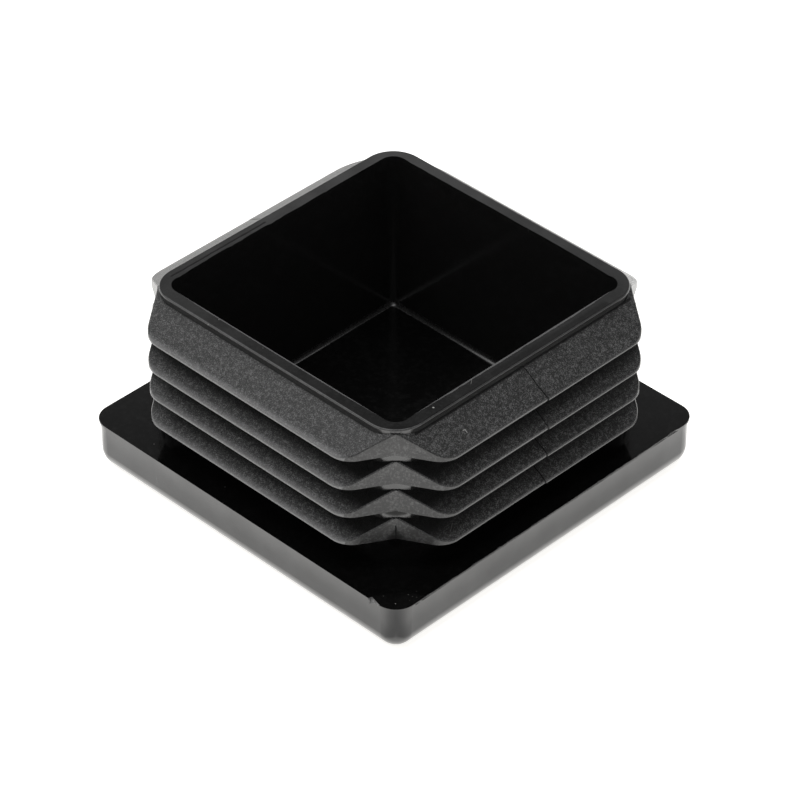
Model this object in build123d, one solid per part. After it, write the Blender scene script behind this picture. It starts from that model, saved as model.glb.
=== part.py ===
from build123d import *
import math
import os

# All lengths in millimetres, angles in degrees. The cap lies on its show face,
# +Z runs through the open end, the origin is the middle of the show face.

# head, as wide as the outside of the tube
head_side = 50.0
head_thick = 6.6
head_edge = 2.4
head_corner_extra = 0.25
head_draft = 1.0
lip_thick = 0.24
lip_overhang = 0.17

# cup that goes into the tube
cup_corner = 3.9
cup_wall = 1.49
cup_length = 19.0
rim_round = 0.18
pocket_floor = 3.8
pocket_draft = 0.74
pocket_corner_less = 0.65
foot_corner = 0.75
pocket_fillet = 0.6

# fins, counted from the open end, the inset runs from the edge of the head
fin_count = 4
fin_inset = 1.05
fin_swell = (0.0, 0.2, 0.1, 0.0)
fin_reach = 3.95
fin_slope = 28.67
fin_lip = 0.37
fin_gap = 1.39
fin_round = 3.15
fin_edge = 0.1
collar = 0.9
notch_angle = 13.0
notch_gap = 0.14
slide_step = 0.09

# chip in the front left edge of the head
chip_x = 20.8
chip_long = 1.6
chip_deep = 0.46
chip_turn = 14.4
chip_lean = 18.0

# sizes that follow from the values above
head_corner = head_edge + head_corner_extra
lip_z = head_thick - lip_thick
rim_z = head_thick + cup_length
fin_side = head_side - 2 * fin_inset
cup_side = fin_side - 2 * fin_reach
pocket_side = cup_side - 2 * cup_wall
pocket_corner = cup_corner - cup_wall - pocket_corner_less
pocket_depth = rim_z - pocket_floor
fin_rise = math.tan(math.radians(fin_slope))
fin_height = fin_lip + fin_reach * fin_rise
fin_pitch = fin_height + fin_gap
cup_nose = cup_side / math.sqrt(2) - cup_corner * (math.sqrt(2) - 1)
notch_nose = cup_nose + notch_gap


def rounded_square(side, radius, z):
    return Plane.XY.offset(z) * RectangleRounded(side, side, radius)


def make_head():
    side = head_side - 2 * lip_overhang
    corner = head_corner - lip_overhang
    body = extrude(rounded_square(side, corner, lip_z), amount=-lip_z, taper=head_draft)
    low_edges = body.faces().sort_by(Axis.Z)[0].edges()
    body = fillet(low_edges, min(head_edge, 0.9 * lip_z))
    lip = extrude(rounded_square(head_side, head_corner, lip_z), amount=lip_thick)
    return body + lip


def make_cup():
    base = rounded_square(cup_side, cup_corner, head_thick - 1)
    cup = extrude(base, amount=cup_length + 1)
    rim_edges = cup.faces().sort_by(Axis.Z)[-1].edges()
    return fillet(rim_edges, rim_round)


def make_pocket():
    # the corners tighten towards the floor
    foot_side = pocket_side - 2 * pocket_depth * math.tan(math.radians(pocket_draft))
    mouth = rounded_square(pocket_side, pocket_corner, rim_z)
    foot = rounded_square(foot_side, foot_corner, pocket_floor)
    pocket = loft([mouth, foot], ruled=True)
    floor_edges = pocket.faces().sort_by(Axis.Z)[0].edges()
    return fillet(floor_edges, pocket_fillet)


def notch_corner(side):
    # where an arm of the notch meets the straight lip, along and across the diagonal
    slope = math.tan(math.radians(notch_angle))
    across = (side / math.sqrt(2) - notch_nose) / (1 + slope)
    along = notch_nose + across * slope
    return along, across


def fin_outline(side, step):
    # step shortens the fin on the two X sides
    along, across = notch_corner(side)
    points = []
    for turn in (45, 135, 225, 315):
        axis = Vector(1, 0, 0).rotate(Axis.Z, turn)
        cross = Vector(0, 1, 0).rotate(Axis.Z, turn)
        for reach, offset in ((along, -across), (notch_nose, 0), (along, across)):
            point = axis * reach + cross * offset
            if abs(point.X) > side / 2 - step - 0.001:
                point = point - Vector(math.copysign(step, point.X), 0, 0)
            points.append(point)
    face = make_face(Polyline(*points, close=True))
    nose = notch_nose + 0.01
    outer = [v for v in face.vertices() if Vector(v.X, v.Y, 0).length > nose]
    return fillet(outer, min(fin_round, 1.5 * across))


def upright(edge):
    start = edge @ 0
    end = edge @ 1
    return math.hypot(start.X - end.X, start.Y - end.Y) < 0.001


def break_edges(fin, low_z, top_z):
    # the edges all round the outline, above along the slope and below along the flat
    upper = []
    lower = []
    for edge in fin.edges():
        least = min((edge @ 0).Z, (edge @ 1).Z)
        if least < low_z + 0.001 and not upright(edge):
            lower.append(edge)
        if low_z + 0.001 < least < top_z - 0.001 and not upright(edge):
            upper.append(edge)
    return chamfer(upper + lower, fin_edge)


def make_half_fin(side, low_z, step, facing):
    # a pyramid that ends inside the cup's wall, cut to the notched outline
    reach = (side - cup_side + cup_wall) / 2
    height = fin_lip + reach * fin_rise
    wide = side + 2 * fin_lip / fin_rise
    prism = extrude(Plane.XY.offset(low_z) * fin_outline(side, step), amount=height + 1)
    base = Plane.XY.offset(low_z) * Rectangle(wide, wide)
    wedge = extrude(base, amount=height, taper=90 - fin_slope)
    fin = break_edges(prism & wedge, low_z, low_z + height)
    room = Pos(0, facing * side / 2, low_z + height / 2) * Box(2 * side, side, 2 * height)
    return fin & room


def make_fin(side, low_z):
    # the two halves of the mould meet at y = 0, and the front one is a little shallower
    back = make_half_fin(side, low_z, 0, 1)
    front = make_half_fin(side, low_z, slide_step, -1)
    return back + front


def make_fins():
    fins = []
    for number in range(fin_count):
        swell = fin_swell[number % len(fin_swell)]
        low_z = rim_z - collar - fin_height - number * fin_pitch
        fins.append(make_fin(fin_side + 2 * swell, low_z))
    return fins


def make_chip():
    # a slanted bite out of the edge, deepest at its left end
    bite = Pos(chip_long / 2, -chip_long / 2, 0) * Box(chip_long, chip_long, 2 * chip_long)
    turned = Rot(0, 0, -chip_turn) * Rot(-chip_lean, 0, 0) * bite
    return Pos(chip_x, chip_deep - head_side / 2, head_thick) * turned


def make_end_cap():
    cap = make_head() + make_cup()
    for fin in make_fins():
        cap = cap + fin
    return cap - make_pocket() - make_chip()


os.makedirs("parts", exist_ok=True)
end_cap = make_end_cap()
end_cap.label = "end_cap"
export_step(end_cap, "parts/end_cap.step")
print("end cap volume mm3", round(end_cap.volume, 1), "valid", end_cap.is_valid)
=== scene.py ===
import math

import bmesh
import bpy
from mathutils import Matrix, Vector, noise


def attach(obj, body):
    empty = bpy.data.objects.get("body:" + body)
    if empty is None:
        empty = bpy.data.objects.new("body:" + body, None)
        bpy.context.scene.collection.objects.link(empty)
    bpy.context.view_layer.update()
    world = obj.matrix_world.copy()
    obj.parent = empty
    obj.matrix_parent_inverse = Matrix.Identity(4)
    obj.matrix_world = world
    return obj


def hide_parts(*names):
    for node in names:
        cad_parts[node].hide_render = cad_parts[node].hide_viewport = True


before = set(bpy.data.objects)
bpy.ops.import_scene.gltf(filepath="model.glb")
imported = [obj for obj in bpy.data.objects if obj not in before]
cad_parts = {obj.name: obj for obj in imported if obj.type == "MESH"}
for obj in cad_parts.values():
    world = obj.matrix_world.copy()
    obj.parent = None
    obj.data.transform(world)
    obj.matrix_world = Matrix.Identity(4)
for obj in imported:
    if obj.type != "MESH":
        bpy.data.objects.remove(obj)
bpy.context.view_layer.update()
mm = 0.001

# the same sizes as the moulding, in millimetres
cap = {
    "headTop": 6.6,
    "rimTop": 25.6,
    "pocketHalf": 18.51,
    "pocketFloor": 3.8,
    "cupHalf": 20.0,
    "lowestFin": 10.4108,   # underside of the fin nearest the head
    "finPitch": 3.9198,
    "finLip": 0.37,
    "finHeight": 2.5298,
    "cupCorner": 3.9,
    "sagX": 0.063,          # how far the fins hang down per millimetre of reach, on +X and on -Y
    "sagY": 0.025,
}


# camera and floor

cameraView = {
    "azimuth": 44.5365,
    "elevation": 37.954,
    "roll": 0.1327,
    "distance": 468.336,
    "lens": 183.36,
    "lookHeight": 13.3,
    "lookRight": 0.65,
    "lookUp": -3.42,
}


def addCamera(view):
    azimuth = math.radians(view["azimuth"])
    elevation = math.radians(view["elevation"])
    roll = math.radians(view["roll"])
    back = Vector((math.sin(azimuth) * math.cos(elevation),
                   -math.cos(azimuth) * math.cos(elevation),
                   math.sin(elevation)))
    right = Vector((math.cos(azimuth), math.sin(azimuth), 0))
    up = back.cross(right)
    target = Vector((0, 0, view["lookHeight"])) + right * view["lookRight"] + up * view["lookUp"]
    side = right * math.cos(roll) + up * math.sin(roll)
    top = up * math.cos(roll) - right * math.sin(roll)
    place = Matrix((side, top, back)).transposed().to_4x4()
    place.translation = (target + back * view["distance"]) * mm
    data = bpy.data.cameras.new("photoCamera")
    data.lens = view["lens"]
    data.sensor_width = 36
    data.clip_start = 0.01
    data.clip_end = 20
    camera = bpy.data.objects.new("photoCamera", data)
    bpy.context.scene.collection.objects.link(camera)
    camera.matrix_world = place
    bpy.context.scene.camera = camera


studio = {
    "floorSize": 6.0,
    "floorColor": (0.8, 0.8, 0.8, 1),
    "floorGlow": (1.0, 0.985, 0.955, 1),
    "seenLift": 0.85,       # added to the floor for the camera only
    "mirrorLift": 1.0,      # added to the floor for reflections only
    # in reflections the floor carries a painted shadow, dimmer beside the head and its front
    # corner, and a painted brightening right at its foot: (place), from, to, level, in millimetres
    "besideHead": (27.6, 29.8, 0.62),
    "frontCorner": ((27.5, -27.5, 0.0), 2.0, 8.0, 0.5),
    "footGlow": (25.6, 26.8),
    # brightness of the air around, by the height of the direction
    "air": [(0.0, 0.75), (0.10, 0.70), (0.30, 0.50), (0.50, 0.50), (0.572, 0.85), (0.592, 0.46),
            (0.613, 0.20), (0.66, 0.07), (1.0, 0.10)],
    "lamps": [
        {"name": "softBox", "at": (-0.28, -0.10, 1.0), "size": (1.3, 1.4), "power": 10.0},
    ],
}


def addFloor(settings):
    bm = bmesh.new()
    bmesh.ops.create_grid(bm, x_segments=1, y_segments=1, size=settings["floorSize"] / 2)
    mesh = bpy.data.meshes.new("floor")
    bm.to_mesh(mesh)
    bm.free()
    floor = bpy.data.objects.new("floor", mesh)
    bpy.context.scene.collection.objects.link(floor)
    material = bpy.data.materials.new("whiteFloor")
    material.use_nodes = True
    tree = material.node_tree
    tree.nodes.clear()
    output = tree.nodes.new("ShaderNodeOutputMaterial")
    diffuse = tree.nodes.new("ShaderNodeBsdfDiffuse")
    diffuse.inputs["Color"].default_value = settings["floorColor"]
    glow = tree.nodes.new("ShaderNodeEmission")
    glow.inputs["Color"].default_value = settings["floorGlow"]
    path = tree.nodes.new("ShaderNodeLightPath")
    place = tree.nodes.new("ShaderNodeTexCoord").outputs["Object"]

    # a painted shadow of the head in the floor's glow, seen only in reflections, with a painted brightening
    # at its foot
    x, y, z = splitAxes(tree, place)
    reach = addMath(tree, "MAXIMUM", addMath(tree, "ABSOLUTE", x), addMath(tree, "ABSOLUTE", y))
    near, far, level = settings["besideHead"]
    beside = addRange(tree, reach, near * mm, far * mm, level, 1.0, True)
    spot, near, far, level = settings["frontCorner"]
    away = addDistance(tree, place, spot)
    corner = addRange(tree, away, near * mm, far * mm, level, 1.0, True)
    near, far = settings["footGlow"]
    foot = addRange(tree, reach, near * mm, far * mm, 1.0, 0.0, True)
    dimmed = addMath(tree, "MAXIMUM", addMath(tree, "MULTIPLY", beside, corner), foot)
    seen = addMath(tree, "MULTIPLY", path.outputs["Is Camera Ray"], settings["seenLift"])
    mirrored = addMath(tree, "MULTIPLY", path.outputs["Is Glossy Ray"], settings["mirrorLift"])
    lift = addMath(tree, "ADD", seen, addMath(tree, "MULTIPLY", mirrored, dimmed))
    tree.links.new(lift, glow.inputs["Strength"])

    both = tree.nodes.new("ShaderNodeAddShader")
    tree.links.new(diffuse.outputs[0], both.inputs[0])
    tree.links.new(glow.outputs[0], both.inputs[1])
    tree.links.new(both.outputs[0], output.inputs["Surface"])
    mesh.materials.append(material)


def addAir(settings):
    # a pale studio: light near the horizon, darker overhead
    world = bpy.data.worlds.new("studioAir")
    bpy.context.scene.world = world
    world.use_nodes = True
    nodes = world.node_tree.nodes
    links = world.node_tree.links
    place = nodes.new("ShaderNodeTexCoord")
    split = nodes.new("ShaderNodeSeparateXYZ")
    ramp = nodes.new("ShaderNodeValToRGB")
    stops = settings["air"]
    while len(ramp.color_ramp.elements) < len(stops):
        ramp.color_ramp.elements.new(0.5)
    for stop, (height, level) in zip(ramp.color_ramp.elements, stops):
        stop.position = height
        stop.color = (level, level, level, 1)
    links.new(place.outputs["Generated"], split.inputs[0])
    links.new(split.outputs["Z"], ramp.inputs["Fac"])
    links.new(ramp.outputs["Color"], nodes["Background"].inputs["Color"])
    nodes["Background"].inputs["Strength"].default_value = 1


def addLamps(settings):
    for lamp in settings["lamps"]:
        data = bpy.data.lights.new(lamp["name"], "AREA")
        data.shape = "RECTANGLE"
        data.size = lamp["size"][0]
        data.size_y = lamp["size"][1]
        data.energy = lamp["power"]
        light = bpy.data.objects.new(lamp["name"], data)
        bpy.context.scene.collection.objects.link(light)
        light.location = lamp["at"]


# shared effects

def makeGroup(name, inputs, outputs):
    group = bpy.data.node_groups.new(name, "ShaderNodeTree")
    for socket, kind, value in inputs:
        made = group.interface.new_socket(socket, in_out="INPUT", socket_type=kind)
        if value is not None:
            made.default_value = value
    for socket, kind in outputs:
        group.interface.new_socket(socket, in_out="OUTPUT", socket_type=kind)
    start = group.nodes.new("NodeGroupInput")
    end = group.nodes.new("NodeGroupOutput")
    return group, start, end


def plug(tree, value, socket):
    if isinstance(value, (int, float, tuple)):
        socket.default_value = value
    else:
        tree.links.new(value, socket)


def addMath(tree, operation, first, second=None):
    node = tree.nodes.new("ShaderNodeMath")
    node.operation = operation
    plug(tree, first, node.inputs[0])
    if second is not None:
        plug(tree, second, node.inputs[1])
    return node.outputs[0]


def addNoise(tree, vector, scale, detail, roughness=0.5):
    node = tree.nodes.new("ShaderNodeTexNoise")
    node.inputs["Detail"].default_value = detail
    node.inputs["Roughness"].default_value = roughness
    tree.links.new(vector, node.inputs["Vector"])
    plug(tree, scale, node.inputs["Scale"])
    return node.outputs["Fac"]


def addRange(tree, value, low, high, newLow=0.0, newHigh=1.0, soft=False):
    node = tree.nodes.new("ShaderNodeMapRange")
    if soft:
        node.interpolation_type = "SMOOTHSTEP"
    for name, put in (("Value", value), ("From Min", low), ("From Max", high),
                      ("To Min", newLow), ("To Max", newHigh)):
        plug(tree, put, node.inputs[name])
    return node.outputs["Result"]


def addMix(tree, factor, first, second):
    node = tree.nodes.new("ShaderNodeMix")
    node.data_type = "RGBA"
    plug(tree, factor, node.inputs["Factor"])
    plug(tree, first, node.inputs["A"])
    plug(tree, second, node.inputs["B"])
    return node.outputs["Result"]


def splitAxes(tree, vector):
    node = tree.nodes.new("ShaderNodeSeparateXYZ")
    tree.links.new(vector, node.inputs[0])
    return node.outputs["X"], node.outputs["Y"], node.outputs["Z"]


def addDistance(tree, place, point):
    node = tree.nodes.new("ShaderNodeVectorMath")
    node.operation = "DISTANCE"
    tree.links.new(place, node.inputs[0])
    node.inputs[1].default_value = [value * mm for value in point]
    return node.outputs["Value"]


def addStroke(tree, place, first, last, width):
    # a soft line from one point to another, as wide as twice the width
    along = Vector(last) - Vector(first)
    length = max(along.length, 0.001)
    along = along / length
    offset = tree.nodes.new("ShaderNodeVectorMath")
    offset.operation = "SUBTRACT"
    tree.links.new(place, offset.inputs[0])
    offset.inputs[1].default_value = [value * mm for value in first]
    dot = tree.nodes.new("ShaderNodeVectorMath")
    dot.operation = "DOT_PRODUCT"
    tree.links.new(offset.outputs[0], dot.inputs[0])
    dot.inputs[1].default_value = along
    reach = addRange(tree, dot.outputs["Value"], 0.0, length * mm, 0.0, length * mm)
    foot = tree.nodes.new("ShaderNodeVectorMath")
    foot.operation = "SCALE"
    foot.inputs[0].default_value = along
    tree.links.new(reach, foot.inputs["Scale"])
    away = tree.nodes.new("ShaderNodeVectorMath")
    away.operation = "DISTANCE"
    tree.links.new(offset.outputs[0], away.inputs[0])
    tree.links.new(foot.outputs[0], away.inputs[1])
    return addRange(tree, away.outputs["Value"], width * 0.4 * mm, width * mm, 1.0, 0.0)


def makeSparkGrain():
    # the pitted skin that a spark-eroded mould leaves
    group, start, end = makeGroup(
        "sparkGrain",
        [("Vector", "NodeSocketVector", None), ("Scale", "NodeSocketFloat", 3000.0)],
        [("Height", "NodeSocketFloat"), ("Mask", "NodeSocketFloat"), ("Cloud", "NodeSocketFloat")])
    place = start.outputs["Vector"]
    scale = start.outputs["Scale"]
    fine = addNoise(group, place, scale, 3.5, 0.76)
    coarse = addNoise(group, place, addMath(group, "MULTIPLY", scale, 0.3), 2.0)
    height = addMath(group, "ADD", addMath(group, "MULTIPLY", fine, 0.75),
                     addMath(group, "MULTIPLY", coarse, 0.25))
    group.links.new(height, end.inputs["Height"])
    group.links.new(addRange(group, height, 0.49, 0.60), end.inputs["Mask"])
    cloud = addNoise(group, place, 260.0, 3.0)
    group.links.new(addRange(group, cloud, 0.35, 0.65), end.inputs["Cloud"])
    return group


def makeFinBands():
    # where a point of a fin lies: by the lip or by the root, and on a side that takes the painted
    # sheen, which is any but the +X one; the lip and the side carry painted highlight, the root painted
    # shade
    group, start, end = makeGroup(
        "finBands",
        [("Vector", "NodeSocketVector", None)],
        [("Lip", "NodeSocketFloat"), ("Root", "NodeSocketFloat"), ("Broad side", "NodeSocketFloat")])
    x, y, z = splitAxes(group, start.outputs["Vector"])
    right = addMath(group, "MAXIMUM", addMath(group, "SUBTRACT", x, cap["cupHalf"] * mm), 0.0)
    front = addMath(group, "MAXIMUM", addMath(group, "SUBTRACT", addMath(group, "MULTIPLY", y, -1.0),
                                              cap["cupHalf"] * mm), 0.0)
    sag = addMath(group, "ADD", addMath(group, "MULTIPLY", right, cap["sagX"]),
                  addMath(group, "MULTIPLY", front, cap["sagY"]))
    above = addMath(group, "ADD", addMath(group, "SUBTRACT", z, cap["lowestFin"] * mm), sag)
    turns = addMath(group, "DIVIDE", above, cap["finPitch"] * mm)
    rise = addMath(group, "MULTIPLY", addMath(group, "FRACT", turns), cap["finPitch"])
    lip = addRange(group, rise, cap["finLip"] - 0.05, cap["finLip"] + 0.42, 1.0, 0.0, True)
    # the root band carries painted shade into the slots of the fins that lie under another fin
    root = addRange(group, rise, cap["finLip"] + 0.4, cap["finHeight"] - 0.8, 0.0, 1.0, True)
    covered = addMath(group, "LESS_THAN", turns, 3.0)
    lead = addMath(group, "SUBTRACT", addMath(group, "ABSOLUTE", y), x)
    group.links.new(lip, end.inputs["Lip"])
    group.links.new(addMath(group, "MULTIPLY", root, covered), end.inputs["Root"])
    group.links.new(addRange(group, lead, -0.8 * mm, 0.8 * mm), end.inputs["Broad side"])
    return group


def makePartingLine():
    # the hair line where the two halves of the mould met, on the X faces
    group, start, end = makeGroup(
        "partingLine",
        [("Vector", "NodeSocketVector", None), ("Width", "NodeSocketFloat", 0.08 * mm)],
        [("Mask", "NodeSocketFloat")])
    x, y, z = splitAxes(group, start.outputs["Vector"])
    sway = addNoise(group, start.outputs["Vector"], 420.0, 1.0)
    bent = addMath(group, "ADD", y, addRange(group, sway, 0.2, 0.8, -0.12 * mm, 0.22 * mm))
    away = addMath(group, "DIVIDE", addMath(group, "ABSOLUTE", bent), start.outputs["Width"])
    line = addRange(group, away, 0.6, 1.1, 1.0, 0.0)
    outside = addMath(group, "GREATER_THAN", addMath(group, "ABSOLUTE", x), cap["cupHalf"] * mm)
    high = addMath(group, "GREATER_THAN", z, cap["lowestFin"] * mm)
    fade = addRange(group, addNoise(group, start.outputs["Vector"], 900.0, 1.0), 0.35, 0.55, 0.85, 1.0)
    mask = addMath(group, "MULTIPLY", addMath(group, "MULTIPLY", line, fade),
                   addMath(group, "MULTIPLY", outside, high))
    group.links.new(mask, end.inputs["Mask"])
    return group


# crumbs and lint on the skin, in millimetres and with the fins still straight: a crumb has
# its middle, radius and strength, a hair its points, half width and strength
dirt = {
    "crumbs": [
        ((23.46, -23.56, 6.6), 0.08, 0.7), ((21.62, -23.57, 6.6), 0.06, 0.25),
        ((23.38, -21.47, 6.6), 0.07, 0.30), ((23.94, -21.38, 6.6), 0.06, 0.25),
        ((24.35, -21.14, 6.6), 0.06, 0.20), ((23.65, -20.44, 6.6), 0.06, 0.15),
        ((24.17, -22.06, 6.6), 0.05, 0.15), ((16.74, -19.5, 6.6), 0.06, 0.10),
        ((-15.96, -23.14, 6.6), 0.09, 0.35), ((-4.49, -22.78, 6.6), 0.10, 0.12),
        ((18.93, -13.14, 25.6), 0.15, 1.0), ((-9.21, -18.6, 25.6), 0.09, 0.45),
        ((-9.5, -20.0, 25.5), 0.10, 0.8), ((-1.93, -18.77, 25.6), 0.07, 0.3),
        ((-1.79, -22.88, 15.34), 0.10, 0.8), ((-11.83, -22.34, 19.5), 0.07, 0.4),
        ((3.77, -22.51, 23.24), 0.06, 0.6), ((21.72, -15.75, 19.81), 0.07, 0.4),
        ((21.87, -14.43, 11.8), 0.07, 0.3), ((22.3, 8.2, 23.5), 0.07, 0.5),
        ((21.3, -14.1, 24.0), 0.06, 0.5), ((23.2, 6.4, 19.1), 0.07, 0.6),
    ],
    "hairs": [
        ([(22.1, -11.75, 23.55), (22.15, -11.45, 23.53), (22.48, -11.5, 23.34)], 0.055, 1.0),
        ([(22.36, -13.5, 11.65), (22.91, -14.38, 11.35)], 0.04, 0.3),
        ([(17.81, -6.86, 25.6), (18.4, -6.55, 25.6), (18.94, -7.25, 25.6)], 0.035, 0.35),
        ([(-13.96, -24.8, 3.96), (-13.85, -24.8, 2.84)], 0.06, 0.25),
        ([(3.4, 18.47, 25.5), (3.4, 18.46, 24.7)], 0.03, 0.25),
    ],
}

# scores, seams and smudges that look dark, and painted shade in the creases of the lowest notch and at the
# foot of the collar and under a fin at the front corner: first and last point, half width, strength
wearAndShade = [
    # painted shade: the crease of the lowest notch at the front corner, darkest towards its foot
    ((18.957, -18.957, 10.3), (18.957, -18.957, 12.3), 0.15, 0.95),
    ((18.957, -18.957, 10.3), (18.957, -18.957, 11.2), 0.75, 0.65),
    ((18.957, -18.957, 10.2), (18.957, -18.957, 10.4), 1.50, 0.8),
    # painted shade under a fin on the bend of the cup at the front corner
    ((18.1, -19.5, 14.1), (19.5, -18.1, 14.1), 0.60, 0.75),
    # darker along the outer edge of the rim on +X and at the front corner
    ((19.96, -16.0, 25.5), (19.96, 17.5, 25.5), 0.16, 0.5),
    ((17.3, -19.6, 25.5), (19.6, -17.3, 25.5), 0.20, 0.6),
    # painted shade in the crease at the foot of the collar, on +X and on -Y
    ((20.02, -17.0, 24.72), (20.02, 17.5, 24.72), 0.26, 0.85),
    ((-17.0, -20.02, 24.74), (17.0, -20.02, 24.74), 0.12, 0.45),
    ((-19.0, -16.8, 25.6), (-19.06, -2.0, 25.6), 0.15, 0.85),
    # darker across the top of the rim on +X
    ((19.4, -4.0, 25.6), (19.5, 14.0, 25.6), 0.60, 0.40),
    ((-3.82, -22.69, 23.23), (-4.06, -23.71, 22.67), 0.06, 0.6),
    ((-3.36, -22.96, 19.27), (-3.25, -24.15, 18.6), 0.07, 0.7),
    ((-4.2, -23.3, 15.1), (-4.0, -23.5, 15.0), 0.14, 0.5),
    ((23.95, -0.05, 22.75), (23.95, -0.05, 22.15), 0.13, 0.8),
    ((24.15, -0.05, 18.85), (24.15, -0.05, 18.2), 0.15, 0.8),
    ((24.05, -0.05, 14.85), (24.05, -0.05, 14.3), 0.12, 0.7),
    ((23.95, -0.05, 10.9), (23.95, -0.05, 10.4), 0.10, 0.7),
    ((19.3, -2.0, 25.6), (19.5, 2.6, 25.6), 0.22, 0.5),
]


def sunk(point):
    # a mark on a fin sinks with it
    x, y, z = point
    if cap["lowestFin"] - 0.05 < z < cap["rimTop"] - 0.7:
        z = z - sagAt(x, y)
    return x, y, z


def makeDirt(settings):
    group, start, end = makeGroup(
        "strayDirt", [("Vector", "NodeSocketVector", None)], [("Mask", "NodeSocketFloat")])
    place = start.outputs["Vector"]
    total = 0.0
    for middle, radius, strength in settings["crumbs"]:
        away = addDistance(group, place, sunk(middle))
        spot = addRange(group, away, radius * 0.4 * mm, radius * mm, strength, 0.0)
        total = addMath(group, "MAXIMUM", spot, total)
    for points, width, strength in settings["hairs"]:
        for first, last in zip(points, points[1:]):
            line = addStroke(group, place, sunk(first), sunk(last), width)
            line = addMath(group, "MULTIPLY", line, strength)
            total = addMath(group, "MAXIMUM", line, total)
    group.links.new(total, end.inputs["Mask"])
    return group


wander = 0.1    # how far a score strays from its straight line, in millimetres


# dark strokes: real scores, seams and smudges, and painted shade in creases and under a fin
def makeWearAndShade(strokes):
    group, start, end = makeGroup(
        "darkWearAndShade", [("Vector", "NodeSocketVector", None)], [("Mask", "NodeSocketFloat")])
    place = start.outputs["Vector"]
    stray = group.nodes.new("ShaderNodeTexNoise")
    stray.inputs["Scale"].default_value = 1100.0
    stray.inputs["Detail"].default_value = 2.0
    group.links.new(place, stray.inputs["Vector"])
    moved = group.nodes.new("ShaderNodeVectorMath")
    moved.operation = "MULTIPLY_ADD"
    group.links.new(stray.outputs["Color"], moved.inputs[0])
    moved.inputs[1].default_value = [2 * wander * mm] * 3
    group.links.new(place, moved.inputs[2])
    back = group.nodes.new("ShaderNodeVectorMath")
    back.operation = "SUBTRACT"
    group.links.new(moved.outputs[0], back.inputs[0])
    back.inputs[1].default_value = [wander * mm] * 3
    total = 0.0
    for first, last, width, strength in strokes:
        line = addStroke(group, back.outputs[0], sunk(first), sunk(last), width)
        line = addMath(group, "MULTIPLY", line, strength)
        total = addMath(group, "MAXIMUM", line, total)
    group.links.new(total, end.inputs["Mask"])
    return group


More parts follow.
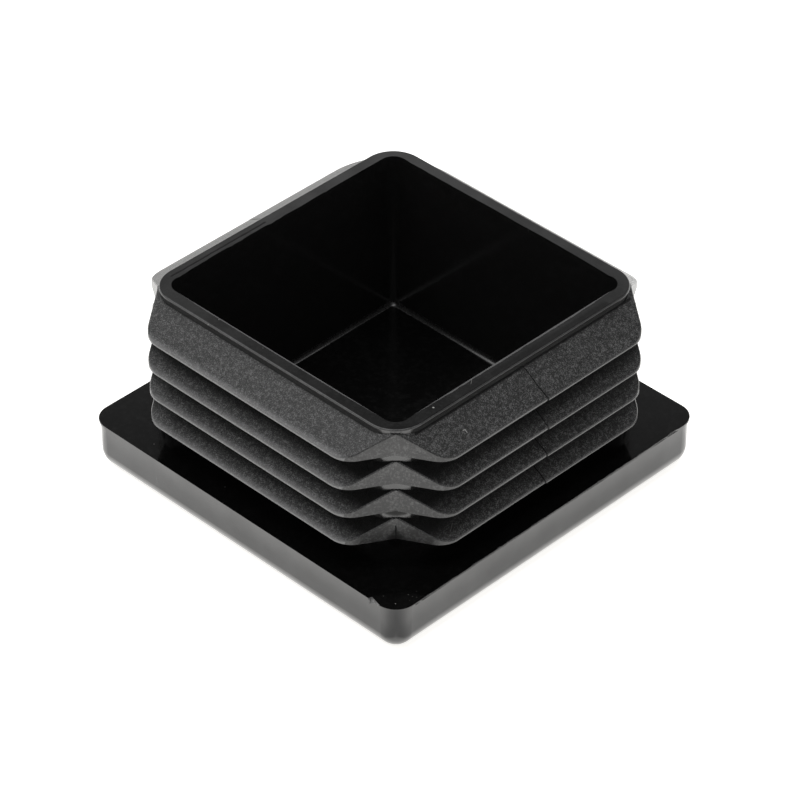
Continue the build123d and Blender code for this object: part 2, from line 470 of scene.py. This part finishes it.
# one black plastic, finished in several ways: color and fleck are the dark and the light of
# its grain, cloud is how much the shine varies, sheen is a painted highlight that lightens a
# broad lip, root is the painted shade that darkens the slots between the fins, pits is how much
# of the shine is missing between the grains, dulled is how much rougher a score is
finishes = {
    "headSide": {"color": 0.008, "fleck": 0.012, "roughness": (0.16, 0.21), "specular": 0.5,
                 "coat": 0.80, "coatRoughness": 0.12, "cloud": 0.22,
                 "grain": 0.02, "scale": 1500.0, "paintedSheen": 0.0, "root": 0.0},
    "headFace": {"color": 0.003, "fleck": 0.005, "roughness": (0.09, 0.12), "specular": 0.42,
                 "coat": 0.0, "coatRoughness": 0.12, "cloud": 0.0,
                 "grain": 0.01, "scale": 1500.0, "paintedSheen": 0.0, "root": 0.0},
    # painted light: the walls of the pocket are lighter in colour than its floor
    "pocketWall": {"color": 0.009, "fleck": 0.012, "roughness": (0.14, 0.19), "specular": 0.5,
                   "coat": 0.5, "coatRoughness": 0.10, "cloud": 0.3,
                   "grain": 0.01, "scale": 1500.0, "paintedSheen": 0.0, "root": 0.0},
    "pocketEdge": {"color": 0.012, "fleck": 0.018, "roughness": (0.26, 0.34), "specular": 0.5,
                   "coat": 1.0, "coatRoughness": 0.25, "cloud": 0.2,
                   "grain": 0.03, "scale": 1500.0, "paintedSheen": 0.0, "root": 0.0},
    "pocketFloor": {"color": 0.003, "fleck": 0.005, "roughness": (0.14, 0.19), "specular": 0.35,
                    "coat": 0.0, "coatRoughness": 0.10, "cloud": 0.0,
                    "grain": 0.01, "scale": 1500.0, "paintedSheen": 0.0, "root": 0.0},
    "rimBand": {"color": 0.003, "fleck": 0.008, "roughness": (0.08, 0.12), "specular": 0.1,
                "coat": 0.92, "coatRoughness": 0.09, "cloud": 0.30,
                "grain": 0.08, "scale": 2200.0, "paintedSheen": 0.0, "root": 0.0},
    "rimEdge": {"color": 0.020, "fleck": 0.045, "roughness": (0.32, 0.42), "specular": 0.5,
                "coat": 0.8, "coatRoughness": 0.30, "cloud": 0.4,
                "grain": 0.30, "scale": 2600.0, "paintedSheen": 0.0, "root": 0.0},
    "finSlope": {"color": 0.001, "fleck": 0.142, "roughness": (0.34, 0.50), "specular": 0.12,
                 "coat": 0.6, "coatRoughness": 0.4, "cloud": 0.0,
                 "grain": 1.0, "scale": 7600.0, "paintedSheen": 0.16, "root": 0.95},
    "finEdge": {"color": 0.006, "fleck": 0.030, "roughness": (0.26, 0.34), "specular": 0.5,
                "coat": 0.5, "coatRoughness": 0.26, "cloud": 0.2,
                "grain": 0.50, "scale": 5600.0, "paintedSheen": 0.16, "root": 0.0},
    "notchFace": {"color": 0.004, "fleck": 0.030, "roughness": (0.28, 0.36), "specular": 0.10,
                  "coat": 1.0, "coatRoughness": 0.32, "cloud": 0.12, "coatIor": 1.74,
                  "grain": 0.60, "scale": 3200.0, "paintedSheen": 0.0, "root": 0.0, "pits": 0.30},
    "cupWall": {"color": 0.003, "fleck": 0.005, "roughness": (0.12, 0.16), "specular": 0.3,
                "coat": 0.35, "coatRoughness": 0.10, "cloud": 0.2, "dulled": 0.0,
                "grain": 0.02, "scale": 3000.0, "paintedSheen": 0.0, "root": 0.0},
    # painted light: a lighter copy of the cupWall finish, for the front of the bend of the cup
    "cupCorner": {"color": 0.006, "fleck": 0.010, "roughness": (0.22, 0.28), "specular": 0.10,
                  "coat": 1.0, "coatRoughness": 0.22, "cloud": 0.1, "coatIor": 1.80,
                  "grain": 0.05, "scale": 3000.0, "paintedSheen": 0.0, "root": 0.0},
    "chipFace": {"color": 0.110, "fleck": 0.300, "roughness": (0.45, 0.55), "specular": 0.4,
                 "coat": 0.0, "coatRoughness": 0.4, "cloud": 0.0,
                 "grain": 0.6, "scale": 5200.0, "paintedSheen": 0.0, "root": 0.0},
}
finishNames = list(finishes)
dustColor = (0.42, 0.42, 0.40, 1)
shadeAndMarkColor = (0.001, 0.001, 0.001, 1)
grainDepth = 0.15 * mm


def grey(level):
    return (level, level, level, 1)


def addGroup(tree, group, place):
    node = tree.nodes.new("ShaderNodeGroup")
    node.node_tree = group
    tree.links.new(place, node.inputs["Vector"])
    return node


def makeFinish(name, look, effects):
    material = bpy.data.materials.new(name)
    material.use_nodes = True
    tree = material.node_tree
    tree.nodes.clear()
    output = tree.nodes.new("ShaderNodeOutputMaterial")
    shader = tree.nodes.new("ShaderNodeBsdfPrincipled")
    tree.links.new(shader.outputs[0], output.inputs["Surface"])
    place = tree.nodes.new("ShaderNodeTexCoord").outputs["Object"]

    skin = addGroup(tree, effects["grain"], place)
    skin.inputs["Scale"].default_value = look["scale"]
    bands = addGroup(tree, effects["bands"], place)
    parting = addGroup(tree, effects["parting"], place)
    specks = addGroup(tree, effects["dirt"], place)
    scoresAndShade = addGroup(tree, effects["wearAndShade"], place)

    color = addMix(tree, skin.outputs["Mask"], grey(look["color"]), grey(look["fleck"]))
    # painted highlight: the lips, and more faintly the whole broad sides, are made lighter in colour
    paintedSheen = addMath(tree, "MULTIPLY", addRange(tree, bands.outputs["Lip"], 0.0, 1.0, 0.08, 1.0),
                    bands.outputs["Broad side"])
    color = addMix(tree, addMath(tree, "MULTIPLY", paintedSheen, look["paintedSheen"]), color, grey(1.0))
    # painted shade: the slots under the upper fins are darkened towards the root
    color = addMix(tree, addMath(tree, "MULTIPLY", bands.outputs["Root"], look["root"]), color, shadeAndMarkColor)
    dark = addMath(tree, "MAXIMUM", parting.outputs["Mask"], scoresAndShade.outputs["Mask"])
    color = addMix(tree, dark, color, shadeAndMarkColor)
    color = addMix(tree, specks.outputs["Mask"], color, dustColor)
    tree.links.new(color, shader.inputs["Base Color"])

    rough = addRange(tree, skin.outputs["Mask"], 0.0, 1.0, *look["roughness"])
    rough = addMath(tree, "ADD", rough, addMath(tree, "MULTIPLY", dark, look.get("dulled", 0.3)))
    tree.links.new(rough, shader.inputs["Roughness"])
    even = addRange(tree, skin.outputs["Cloud"], 0.0, 1.0, look["coat"], look["coat"] * (1 - look["cloud"]))
    whole = addRange(tree, dark, 0.0, 1.0, 1.0, 0.0)
    lit = addRange(tree, bands.outputs["Root"], 0.0, 1.0, 1.0, 1 - look["root"])
    high = addRange(tree, skin.outputs["Mask"], 0.0, 1.0, 1 - look.get("pits", 0.0), 1.0)
    if look["coat"] > 0:
        shine = even
        for part in (whole, lit, high):
            shine = addMath(tree, "MULTIPLY", shine, part)
        tree.links.new(shine, shader.inputs["Coat Weight"])
    height = addMath(tree, "SUBTRACT", skin.outputs["Height"], parting.outputs["Mask"])
    bump = tree.nodes.new("ShaderNodeBump")
    bump.inputs["Strength"].default_value = look["grain"]
    bump.inputs["Distance"].default_value = grainDepth
    tree.links.new(height, bump.inputs["Height"])
    tree.links.new(bump.outputs["Normal"], shader.inputs["Normal"])
    shader.inputs["Specular IOR Level"].default_value = look["specular"]
    shader.inputs["Coat Roughness"].default_value = look["coatRoughness"]
    shader.inputs["Coat IOR"].default_value = look.get("coatIor", 1.5)
    return material


chipAt = {"x": (20.5, 22.8), "y": -24.3, "z": 4.5}


def finishOf(face):
    # which finish a face of the moulding has, by where it lies and where it looks
    centre = face.center / mm
    normal = face.normal
    reach = max(abs(centre.x), abs(centre.y))
    diagonal = min(abs(normal.x), abs(normal.y))
    middle = cap["cupHalf"] - cap["cupCorner"]
    bend = math.hypot(abs(centre.x) - middle, abs(centre.y) - middle)
    low, high = chipAt["x"]
    chipped = low < centre.x < high and centre.y < chipAt["y"] and chipAt["z"] < centre.z < cap["headTop"]
    if chipped and -0.5 < normal.z < 0.99 and normal.y > -0.985:
        return "chipFace"
    if normal.z > 0.95:
        if centre.z > cap["rimTop"] - 0.1:
            return "rimBand"
        if centre.z < cap["pocketFloor"] + 0.1:
            return "pocketFloor"
        if centre.z < cap["headTop"] + 0.1:
            return "headFace"
    inward = centre.x * normal.x + centre.y * normal.y < 0
    if reach < cap["pocketHalf"] + 0.05 and inward and centre.z > cap["pocketFloor"] - 0.1:
        return "pocketEdge" if normal.z > 0.1 else "pocketWall"
    if centre.z < cap["headTop"]:
        return "headSide"
    if centre.z > cap["rimTop"] - 0.3:
        return "rimEdge"
    if 0.85 < normal.z < 0.95:
        return "finSlope"
    if normal.z < -0.3:
        return "cupWall"
    if abs(normal.z) < 0.1:
        if reach < cap["cupHalf"] + 0.02 and abs(bend - cap["cupCorner"]) < 0.06:
            # painted light and shade: the bend of the cup takes the lighter cupCorner finish where it faces
            # the front more than a millimetre above the lowest fin, and the darker cupWall finish where it
            # turns into the slots or lies low
            litBend = diagonal > 0.36 and centre.z > cap["lowestFin"] + 1
            return "cupCorner" if litBend else "cupWall"
        if reach < cap["cupHalf"] + 0.02 and diagonal < 0.05:
            return "cupWall"
        if diagonal > 0.51:
            return "notchFace"
    return "finEdge"


# ragged edges: axis and place of the edge, its height, reach along it, cuts, depth, how patchy,
# first one of the head and then the four of the pocket's mouth, the nearest one only cut
ragged = [
    {"axis": 0, "place": 25.0, "height": (6.3, 6.7), "reach": 22.0,
     "cuts": 150, "depth": -0.13, "patch": 0.0},
    {"axis": 1, "place": -18.51, "height": (25.4, 25.7), "reach": 16.7,
     "cuts": 60, "depth": 0.0, "patch": 1.0},
    {"axis": 0, "place": -18.51, "height": (25.4, 25.7), "reach": 16.7,
     "cuts": 70, "depth": 0.16, "patch": 0.1},
    {"axis": 1, "place": 18.51, "height": (25.4, 25.7), "reach": 16.7,
     "cuts": 60, "depth": -0.09, "patch": 0.2},
    {"axis": 0, "place": 18.51, "height": (25.4, 25.7), "reach": 16.7,
     "cuts": 60, "depth": -0.10, "patch": 0.1},
]
# the topmost fin on the far side hangs down a little: from y, as far as y, by this much
droop = (20.0, 23.95, 0.62)
# the mouth of the pocket is narrower in all its corners but the far one: how much, fully
# within, and as far as
narrowing = (0.15, 1.5, 9.0)


def roughenEdge(bm, edge):
    axis = edge["axis"]
    low, high = edge["height"]

    def onEdge(vertex):
        place = vertex.co / mm
        return abs(place[axis] - edge["place"]) < 0.02 and low < place.z < high

    chosen = [item for item in bm.edges if all(onEdge(vertex) for vertex in item.verts)
              and abs(item.verts[0].co[1 - axis] - item.verts[1].co[1 - axis]) > 5 * mm]
    if not chosen:
        return
    bmesh.ops.subdivide_edges(bm, edges=chosen, cuts=edge["cuts"])
    for vertex in bm.verts:
        along = abs(vertex.co[1 - axis] / mm)
        if onEdge(vertex) and along < edge["reach"]:
            spot = Vector((vertex.co[1 - axis] / mm * 1.3, edge["place"], 0.5))
            coarse = noise.noise(spot * 0.25)
            fine = 0.5 + noise.noise(spot)
            if coarse > edge["patch"] - 0.3:
                vertex.co[axis] += max(fine, 0.0) * edge["depth"] * mm


def sagAt(x, y):
    # how far a point of a fin hangs down, in millimetres
    return cap["sagX"] * max(x - cap["cupHalf"], 0) + cap["sagY"] * max(-y - cap["cupHalf"], 0)


def bendFins(bm):
    first, last, depth = droop
    low = cap["lowestFin"] + 3 * cap["finPitch"] - 0.05
    for vertex in bm.verts:
        place = vertex.co / mm
        if cap["lowestFin"] - 0.05 < place.z < cap["rimTop"] - 0.7:
            vertex.co.z -= sagAt(place.x, place.y) * mm
            if place.y > first + 0.01 and low < place.z:
                vertex.co.z -= depth * mm * (place.y - first) / (last - first)


def narrowMouth(bm):
    amount, near, far = narrowing
    half = cap["pocketHalf"]
    for vertex in bm.verts:
        place = vertex.co / mm
        if place.z < cap["rimTop"] - 0.2 or max(abs(place.x), abs(place.y)) > half + 0.2:
            continue
        if place.x < 0 < place.y:
            continue
        away = math.hypot(half - abs(place.x), half - abs(place.y))
        share = min(max((far - away) / (far - near), 0.0), 1.0)
        share = share * share * (3 - 2 * share)
        vertex.co.x -= math.copysign(amount * share, place.x) * mm
        vertex.co.y -= math.copysign(amount * share, place.y) * mm


def mergeCopy(source, name):
    # the solid's loose triangles are joined, and each corner keeps its own normal
    bm = bmesh.new()
    bm.from_mesh(source)
    kept = bm.loops.layers.float_vector.new("cadNormal")
    normals = [Vector(corner.vector) for corner in source.corner_normals]
    number = 0
    for face in bm.faces:
        for loop in face.loops:
            loop[kept] = normals[number]
            number += 1
    bmesh.ops.remove_doubles(bm, verts=bm.verts, dist=0.5e-6)
    for edge in ragged:
        roughenEdge(bm, edge)
    narrowMouth(bm)
    bendFins(bm)
    mesh = bpy.data.meshes.new(name)
    bm.to_mesh(mesh)
    bm.free()
    stored = mesh.attributes["cadNormal"]
    corners = [Vector(item.vector) for item in stored.data]
    mesh.attributes.remove(stored)
    for face in mesh.polygons:
        face.use_smooth = True
    mesh.normals_split_custom_set(corners)
    return mesh


def makeCap(source):
    mesh = mergeCopy(source.data, "moulding")
    effects = {
        "grain": makeSparkGrain(),
        "bands": makeFinBands(),
        "parting": makePartingLine(),
        "dirt": makeDirt(dirt),
        "wearAndShade": makeWearAndShade(wearAndShade),
    }
    for name in finishNames:
        mesh.materials.append(makeFinish(name, finishes[name], effects))
    for face in mesh.polygons:
        face.material_index = finishNames.index(finishOf(face))
    piece = bpy.data.objects.new("moulding", mesh)
    bpy.context.scene.collection.objects.link(piece)
    return piece


addCamera(cameraView)
addFloor(studio)
addAir(studio)
addLamps(studio)
bpy.context.scene.view_settings.view_transform = "Standard"
print("camera, floor and light are in place")

moulding = makeCap(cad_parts["end_cap"])
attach(moulding, "root")
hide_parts("end_cap")
print("moulding has", len(moulding.data.polygons), "faces")
